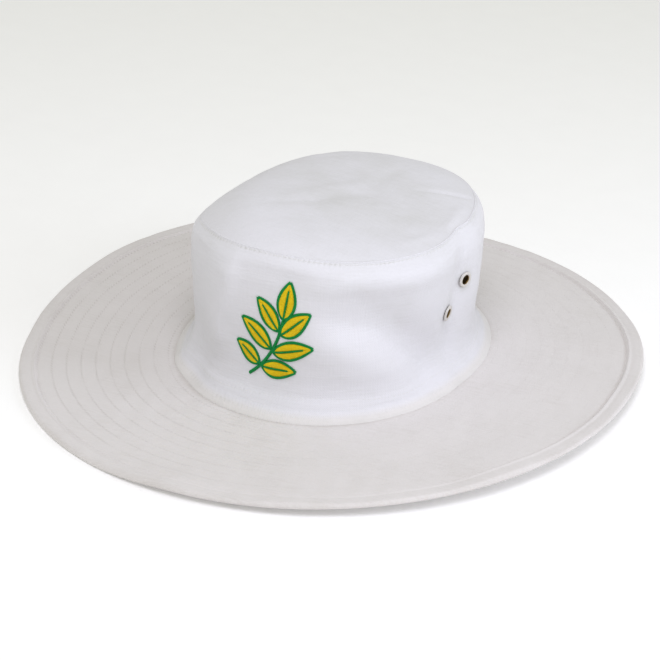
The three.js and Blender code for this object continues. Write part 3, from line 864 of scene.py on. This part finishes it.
def make_brim():
    rows, counts = ROW_OFFSETS, row_counts()
    pitch = rows[1] - rows[0]
    quilted = np.concatenate([row + np.array(QUILT_STEPS) * pitch for row in rows[:-1]])
    inner = [-BRIM["allowance"], INNER_STEP]
    over = np.concatenate([inner, [0], quilted, rows[-1] + np.array(HEM_STEPS)])
    under = np.concatenate([inner, (rows[:, None] + UNDER_STEPS).ravel()])
    turns = np.linspace(-np.pi, np.pi, BRIM_COLUMNS)
    over_turns, over_shares = grid(turns, over / BRIM["width"])
    under_turns, under_shares = grid(turns, under[::-1] / BRIM["width"])
    roll_turns, roll_shares, rim = brim_roll(turns)
    top = brim_top(over_turns, over_shares)
    columns = np.concatenate([top, rim, brim_under(under_turns, under_shares)], 1)
    columns[..., 2] = np.maximum(columns[..., 2], 0)
    all_turns = np.concatenate([over_turns, roll_turns, under_turns], 1)
    all_offsets = np.concatenate([over_shares, roll_shares, under_shares], 1) * BRIM["width"]
    stitch, soil = brim_paint(all_turns, all_offsets, counts)
    piece = sweep("brim_cloth", columns[:, ::-1], True, BRIM_CLOTH, "brim_cloth",
                  weave=columns[:, ::-1, :2], stitch=stitch[:, ::-1], soil=soil[:, ::-1])
    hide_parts("brim")

    sides = (("brim_stitches_top", brim_top, -1), ("brim_stitches_under", brim_under, 1))
    for name, face, flip in sides:
        parts = [stitch_row(face, row / BRIM["width"], int(count), flip, BRIM_ARCH)
                 for row, count in zip(rows, counts)]
        points, faces = join_pieces(parts)
        points[:, 2] = np.maximum(points[:, 2], FLOOR_ROOM)
        add_object(name, points, faces, CREAM_THREAD, "stitch_thread")


WALL_RISES = np.concatenate([
    [0, 0.003, 0.008], np.linspace(0.015, 0.14, 17), np.linspace(0.155, 0.9, 32),
    np.linspace(0.91, 0.99, 11), [1],
])


def panel_columns(first, last):
    """Turns of a side panel's columns, for each rise, between two seams."""
    spread = np.linspace(0, 1, PANEL_COLUMNS)
    left, right = seam_turns(WALL_RISES)
    seams = {"right": right + 0 * left, "left": left, "right_again": right + 2 * np.pi + 0 * left}
    return seams[first] + (seams[last] - seams[first]) * spread[:, None]


def cut_holes(piece, places, radius):
    """Cuts a round hole through a piece at each place."""
    for middle, along, up, out in places:
        bm = bmesh.new()
        bmesh.ops.create_cone(bm, cap_ends=True, segments=48, radius1=radius, radius2=radius, depth=16)
        bm.transform(Matrix.Scale(MM, 4) @ placing(along, up, out, middle))
        cutter = put_solid("cutter", bm)
        cut = piece.modifiers.new("hole", "BOOLEAN")
        cut.operation = "DIFFERENCE"
        cut.solver = "MANIFOLD"
        cut.object = cutter
        bpy.context.view_layer.update()
        solved = bpy.data.meshes.new_from_object(piece.evaluated_get(bpy.context.evaluated_depsgraph_get()))
        piece.modifiers.clear()
        piece.data = solved
        bpy.data.objects.remove(cutter)


def wall_soil(turns, rises):
    """The soiled places of the wall: its foot, its top edge and round the eyelets."""
    soil = sum(ridge(WALL_SOIL[end], rises * DENT_TALL) for end in ("foot", "top"))
    for angle, rise in EYELETS.values():
        off = np.hypot(along_wall(turns, np.radians(angle)), (rises - rise) * DENT_TALL)
        soil = soil + ridge(WALL_SOIL["eyelet"], off)
    return soil


def make_panel(name, node_name, first, last):
    turns = panel_columns(first, last)
    turns[0] += SEAM_OPEN / 2 / WALL_ARC
    turns[-1] -= SEAM_OPEN / 2 / WALL_ARC
    rises = np.broadcast_to(WALL_RISES, turns.shape)
    round_off = np.zeros_like(WALL_RISES)
    round_off[:len(FOOT_ROUNDING)] = FOOT_ROUNDING
    lift = np.zeros_like(WALL_RISES)
    lift[0], lift[-1] = WALL_ENDS["foot"], WALL_ENDS["top"]
    outside = wall_point(turns, rises, wall_relief(turns, rises) + round_off)
    inside = wall_point(turns, rises, WALL_THICK)
    columns = np.concatenate([raised(outside, lift), raised(inside, lift)[:, ::-1]], 1)
    weave = np.stack([turns * WALL_ARC, rises * DENT_TALL], -1)
    stitch = stitch_map(turns, rises)
    soil = wall_soil(turns, rises)
    warm = 1 - smooth(*WARM_FOOT, rises * DENT_TALL)
    maps = {"weave": weave, "stitch": stitch, "soil": soil, "warm": warm}
    maps = {key: np.concatenate([value, value[:, ::-1]], 1) for key, value in maps.items()}
    piece = sweep(name, columns, False, CROWN_CLOTH, "crown_cloth", **maps)
    span = turns[:, len(WALL_RISES) // 2]
    mine = [row for row in EYELETS.values() if any(
        span[0] < np.radians(row[0]) + lap < span[-1] for lap in (0, 2 * np.pi))]
    cut_holes(piece, [eyelet_frame(*row) for row in mine], EYELET_HOLE)
    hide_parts(node_name)


def make_crown_sides():
    make_panel("crown_front_cloth", "crown_side_front", "right", "left")
    make_panel("crown_back_cloth", "crown_side_back", "left", "right_again")
    parts = [stitch_row(wall_face, partial(row_rise, name), WALL_STITCHES, 1, ROW_ARCHES[name])
             for name in WALL_ROWS]
    add_object("crown_stitches", *join_pieces(parts), WHITE_THREAD, "stitch_thread")


def make_top():
    turns = np.linspace(-np.pi, np.pi, ROUND_COLUMNS)
    shares = np.concatenate([np.linspace(0, 0.9, 42), np.linspace(0.91, 0.99, 11)])
    over = tip_face(*grid(turns, shares))

    way = with_height(outward(turns), 0.0)
    swell = by_side(TOP_RIDGE["rise"], "ridge", turns)
    start = over[:, -1]
    foot = raised(wall_face(turns, 1 + 0 * turns) - way * TOP_RIDGE["inset"], TOP_RIDGE["foot"])
    pulls = raised(start + way * TOP_RIDGE["over"], swell), raised(foot, TOP_RIDGE["tall"])
    bead = bezier((start, *pulls, foot), np.linspace(0.1, 1, 9))
    seat = raised(wall_point(turns, 1, TIP_CLOTH["seat"]), GAP / 2)[:, None]
    under = raised(tip_point(*grid(turns, np.linspace(0.9, 0, 24))), -TIP_CLOTH["thick"])
    columns = np.concatenate([over, bead, seat, under], 1)
    # The middle of the top is made darker and greyer.
    worn = TOP_MIDDLE_GREYING
    flat = (columns[..., :2] - [worn["x"], worn["y"]]) / [worn["across"], worn["along"]]
    soil = worn["strength"] * np.exp(-(np.linalg.norm(flat, axis=-1) ** worn["power"]))
    stitch = np.full(columns.shape[:2] + (2,), NO_STITCH)
    piece = sweep("crown_top_cloth", columns[:, ::-1], True, CROWN_CLOTH, "crown_cloth",
                  weave=columns[:, ::-1, :2], stitch=stitch, soil=soil[:, ::-1])
    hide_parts("crown_top")


def band_point(turn, rise, depth):
    return wall_point(turn, rise, WALL_THICK + BAND["gap"] + depth)


def make_sweatband():
    """A folded tape: rounded at its upper edge, with a row of stitches near its lower one."""
    turns = np.linspace(-np.pi, np.pi, ROUND_COLUMNS)
    edge = BAND["head"] - BAND["roll"]
    rises = np.concatenate([np.linspace(BAND["foot"], 0.14, 12), np.linspace(0.16, edge, 12)])
    flat_turns, flat_rises = grid(turns, rises)
    out, back = [band_point(flat_turns, flat_rises, depth) for depth in (0, BAND["thick"])]
    edge_turns, edge_bends = grid(turns, np.radians(np.linspace(60, -60, 5)))
    half = BAND["thick"] / 2
    edge_rises = edge + BAND["roll"] * np.cos(edge_bends)
    fold = band_point(edge_turns, edge_rises, half - half * np.sin(edge_bends))
    columns = np.concatenate([out, fold, back[:, ::-1]], 1)
    all_rises = np.concatenate([flat_rises, edge_rises, flat_rises[:, ::-1]], 1)
    all_turns = np.broadcast_to(turns[:, None], all_rises.shape)
    weave = np.stack([all_turns * BAND_ARC, all_rises * DENT_TALL], -1)
    stitch = stitch_map(all_turns, all_rises)
    soil = BAND_SOIL["all"] + ridge(BAND_SOIL["middle"], all_rises * DENT_TALL)
    piece = sweep("sweatband_tape", columns, True, BAND_CLOTH, "band_cloth",
                  weave=weave, stitch=stitch, soil=soil)
    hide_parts("sweatband")


def eyelet_frame(angle, rise):
    """The middle of an eyelet on the wall and its three directions, the last straight out."""
    turn, step = np.radians(angle), np.radians(3)
    along = unit(wall_point(turn + step, rise) - wall_point(turn - step, rise))
    up = wall_point(turn, rise + 0.05) - wall_point(turn, rise - 0.05)
    out = unit(np.cross(along, up))
    return wall_point(turn, rise), along, np.cross(out, along), out


def lathe(name, place, profile, material, slot):
    """A closed ring: a closed profile of radius and height, turned about an eyelet's axis."""
    middle, along, up, out = place
    phase = np.linspace(0, 2 * np.pi, 49)[:, None, None]
    profile = np.array(profile)[None]
    ring = along * np.cos(phase) + up * np.sin(phase)
    columns = middle + ring * profile[..., :1] + out * profile[..., 1:]
    return sweep(name, columns, True, material, slot)


def make_eyelets():
    """Each is a pressed enamel ring on the cloth and a brass barrel with a washer behind it."""
    bore, barrel, flange = EYELET["bore"], EYELET["barrel"], EYELET["flange"] - FLANGE_ROLL
    plate, gap, washer = EYELET["plate"], EYELET["gap"], EYELET["washer"]
    back = -WALL_THICK - gap
    bends = np.radians(np.linspace(0, 180, 13))
    half = (flange - barrel) / 2
    dome = [(barrel + half + half * np.cos(b), gap + (plate + 0.25) * np.sin(b) ** 0.8) for b in bends]
    ring = [(barrel + 0.06, gap), (flange, gap - 0.1), *dome]
    tube = [
        (barrel, back), (barrel, gap + plate * 0.5), (barrel - 0.12, gap + plate * 0.75),
        (bore + 0.1, gap + 0.3), (bore, gap), (bore, back - plate * 0.6), (bore + 0.2, back - plate),
        (washer - 0.3, back - plate), (washer, back - plate * 0.5), (washer - 0.1, back),
    ]
    for name, spot in EYELETS.items():
        place = eyelet_frame(*spot)
        lathe(name + "_barrel", place, tube, BRASS, "eyelet_brass")
        piece = lathe(name + "_ring", place, ring, ENAMEL, "eyelet_enamel")
        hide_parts(name)


# The embroidered sprig, in mm on the front of the wall: x toward the wearer's left and y up. A border
# has a width, a lift off the cloth and an arch of its threads.
MOTIF = {"angle": 2.5, "rise": 0.535, "arc": 1.63}
SATIN = {"space": 0.42, "radius": 0.25}
STEM = ((-14, -28), (2, -16), (6, 5))
STEM_HEADING = 80
LEAF_GAP = 1.2
LEAF_BEND = 0.1
LEAF_PAD = {"edge": 0.18, "swell": 0.12, "sunk": -0.1}
FILL = {"lift": 0.26, "arch": 0.22}
BORDERS = {"leaf": (1.5, 0.24, 0.3), "rib": (1.0, 0.45, 0.25), "stem": (1.7, 0.3, 0.35)}
LEAF_COLUMNS = ("along_stem", "heading", "length", "width")
LEAVES = [dict(zip(LEAF_COLUMNS, row)) for row in (
    (1.0, 80, 21, 9.5),
    (0.84, 132, 20, 9.0),
    (0.8, 35, 21, 9.5),
    (0.56, 146, 22, 9.5),
    (0.52, 10, 23, 9.5),
    (0.24, 150, 17, 8.5),
    (0.22, -3, 20, 9.5),
)]


def on_wall(flat):
    """The turn and rise of a place in the motif's plane."""
    turn = np.radians(MOTIF["angle"] + flat[..., 0] / MOTIF["arc"])
    return turn, MOTIF["rise"] + flat[..., 1] / DENT_TALL


def motif_point(flat, lift):
    """A point of the motif, lifted off the front of the wall."""
    place = on_wall(flat)
    return wall_face(*place) + normal_of(wall_point, *place) * np.asarray(lift)[..., None]


def satin(starts, ends, lift, arch):
    """Silky threads side by side, from starts to ends in the motif's plane."""
    normals = normal_of(wall_point, *on_wall((starts + ends) / 2))
    return thread_pieces(motif_point(starts, lift), motif_point(ends, lift), normals,
                         SATIN["radius"], arch, rings=5)


def satin_line(path, width, lift, arch):
    """A satin border along a path: threads straight across it."""
    at = lengths_along(path)
    spots = np.arange(0, at[-1], SATIN["space"])

    def on_path(spots):
        return np.stack([np.interp(spots, at, column) for column in path.T], -1)

    middle = on_path(spots)
    ahead = unit(on_path(spots + 0.2) - on_path(spots - 0.2))
    across = np.stack([-ahead[:, 1], ahead[:, 0]], -1) * width / 2
    lean = ahead * 0.12
    return satin(middle - across - lean, middle + across + lean, lift, arch)


def leaf_point(leaf, t, across):
    """A point of a leaf: t goes from its base to its point, and across from -1 to 1."""
    base = bezier(STEM, leaf["along_stem"])
    heading = np.radians(leaf["heading"])
    ahead = np.array([np.cos(heading), np.sin(heading)])
    aside = np.array([-ahead[1], ahead[0]])
    half = leaf["width"] / 2 * np.sin(np.pi * t**0.85) ** 0.85
    bend = LEAF_BEND * np.sign(STEM_HEADING - leaf["heading"]) * leaf["length"] * np.sin(np.pi * t / 2) ** 2
    reach = LEAF_GAP + leaf["length"] * t
    return base + ahead * reach[..., None] + aside * (bend + half * across)[..., None]


def leaf_blade(leaf):
    """The padded body of a leaf: a closed sheet, domed across."""
    t, across = grid(np.linspace(0.02, 0.98, 26), np.linspace(-1, 1, 9))
    flat = leaf_point(leaf, t, across)
    top = motif_point(flat, LEAF_PAD["edge"] + LEAF_PAD["swell"] * (1 - across**2))
    low = motif_point(flat, LEAF_PAD["sunk"])
    columns = np.concatenate([top, low[:, ::-1]], 1)
    return columns.reshape(-1, 3), skin_corners(*columns.shape[:2], False).tolist()


def make_motif():
    gold, green = [], []
    t = np.linspace(0, 1, 60)
    for leaf in LEAVES:
        gold.append(leaf_blade(leaf))
        start = np.arange(0.04, 0.86, SATIN["space"] * 1.02 / leaf["length"])
        end = np.minimum(start + 0.13, 0.97)
        for side in (-1, 1):
            inner = leaf_point(leaf, start, 0.04 * side)
            outer = leaf_point(leaf, end, 0.9 * side)
            gold.append(satin(inner, outer, FILL["lift"], FILL["arch"]))
            green.append(satin_line(leaf_point(leaf, t, side), *BORDERS["leaf"]))
        rib = np.linspace(-0.04, 0.78, 40)
        spine = leaf_point(leaf, np.maximum(rib, 0), 0)
        spine[0] = bezier(STEM, leaf["along_stem"])
        green.append(satin_line(spine, *BORDERS["rib"]))
    green.append(satin_line(bezier(STEM, t), *BORDERS["stem"]))
    add_object("motif_gold", *join_pieces(gold), GOLD_THREAD, "gold_thread")
    add_object("motif_green", *join_pieces(green), GREEN_THREAD, "green_thread")


# The view of the photo: where the camera stands round the hat, and what it looks at
CAMERA = {"azimuth": 23.86, "height": 25.52, "roll": 1.9, "away": 1075.06, "side": -3.65, "up": 11.15}
FOCAL_PIXELS = 1863.24
FRAME_PIXELS = 660


def directions(azimuth, height):
    """The way back toward a camera, its right and its up."""
    a, e = np.radians(azimuth), np.radians(height)
    back = np.array([np.sin(a) * np.cos(e), -np.cos(a) * np.cos(e), np.sin(e)])
    right = np.array([np.cos(a), np.sin(a), 0])
    return back, right, np.cross(back, right)


def make_camera():
    back, right, up = directions(CAMERA["azimuth"], CAMERA["height"])
    roll = np.radians(CAMERA["roll"])
    target = right * CAMERA["side"] + np.array([0, 0, CAMERA["up"]])
    data = bpy.data.cameras.new("camera")
    data.sensor_width = 36
    data.lens = FOCAL_PIXELS * data.sensor_width / FRAME_PIXELS
    camera = put_in_scene("camera", data)
    x = right * np.cos(roll) + up * np.sin(roll)
    y = up * np.cos(roll) - right * np.sin(roll)
    camera.matrix_world = placing(x, y, back, (target + back * CAMERA["away"]) * MM)
    bpy.context.scene.camera = camera


# Soft discs of light: azimuth and height in degrees, distance and size in metres, watts and colour
LIGHTS = {
    "key": (20, 60, 1.4, 0.8, 6.0, (0.98, 0.97, 1.09)),
    "side": (90, 24, 1.4, 0.8, 4.0, (0.94, 0.98, 1.14)),
}
SKY = {"colour": (0.99, 0.99, 0.92), "strength": 0.6}
FLOOR_GLOW = 0.14
VIEW_GAMMA = 0.78


def add_light(name, azimuth, height, away, size, power, colour):
    data = bpy.data.lights.new(name, "AREA")
    data.shape = "DISK"
    data.size = size
    data.energy = power
    data.color = colour
    light = put_in_scene(name, data)
    back = Vector(directions(azimuth, height)[0])
    light.location = back * away
    light.rotation_euler = back.to_track_quat("Z", "Y").to_euler()


def make_floor():
    material, tree, shader = new_material("floor_paper", 0.9, specular=0.1)
    grain = noise(tree, node(tree, "ShaderNodeTexCoord").outputs["Object"], 40.0)
    paper = blend_colours(tree, grain, shade(0.93, 0.93, 0.93), shade(0.96, 0.96, 0.96))
    tree.links.new(paper, shader.inputs["Base Color"])
    shader.inputs["Emission Color"].default_value = shade(1, 1, 1)
    shader.inputs["Emission Strength"].default_value = FLOOR_GLOW
    bm = bmesh.new()
    bmesh.ops.create_grid(bm, x_segments=8, y_segments=8, size=4)
    floor = put_solid("floor", bm)
    floor.data.materials.append(material)
    floor.location.z = -0.0001


def make_studio():
    make_floor()
    world = bpy.data.worlds.new("studio")
    world.use_nodes = True
    sky = world.node_tree.nodes["Background"].inputs
    sky["Color"].default_value = shade(*SKY["colour"])
    sky["Strength"].default_value = SKY["strength"]
    bpy.context.scene.world = world
    for name, row in LIGHTS.items():
        add_light(name, *row)
    bpy.context.scene.view_settings.view_transform = "Standard"
    bpy.context.scene.view_settings.gamma = VIEW_GAMMA


make_camera()
make_studio()
make_brim()
make_crown_sides()
make_top()
make_sweatband()
make_eyelets()
make_motif()
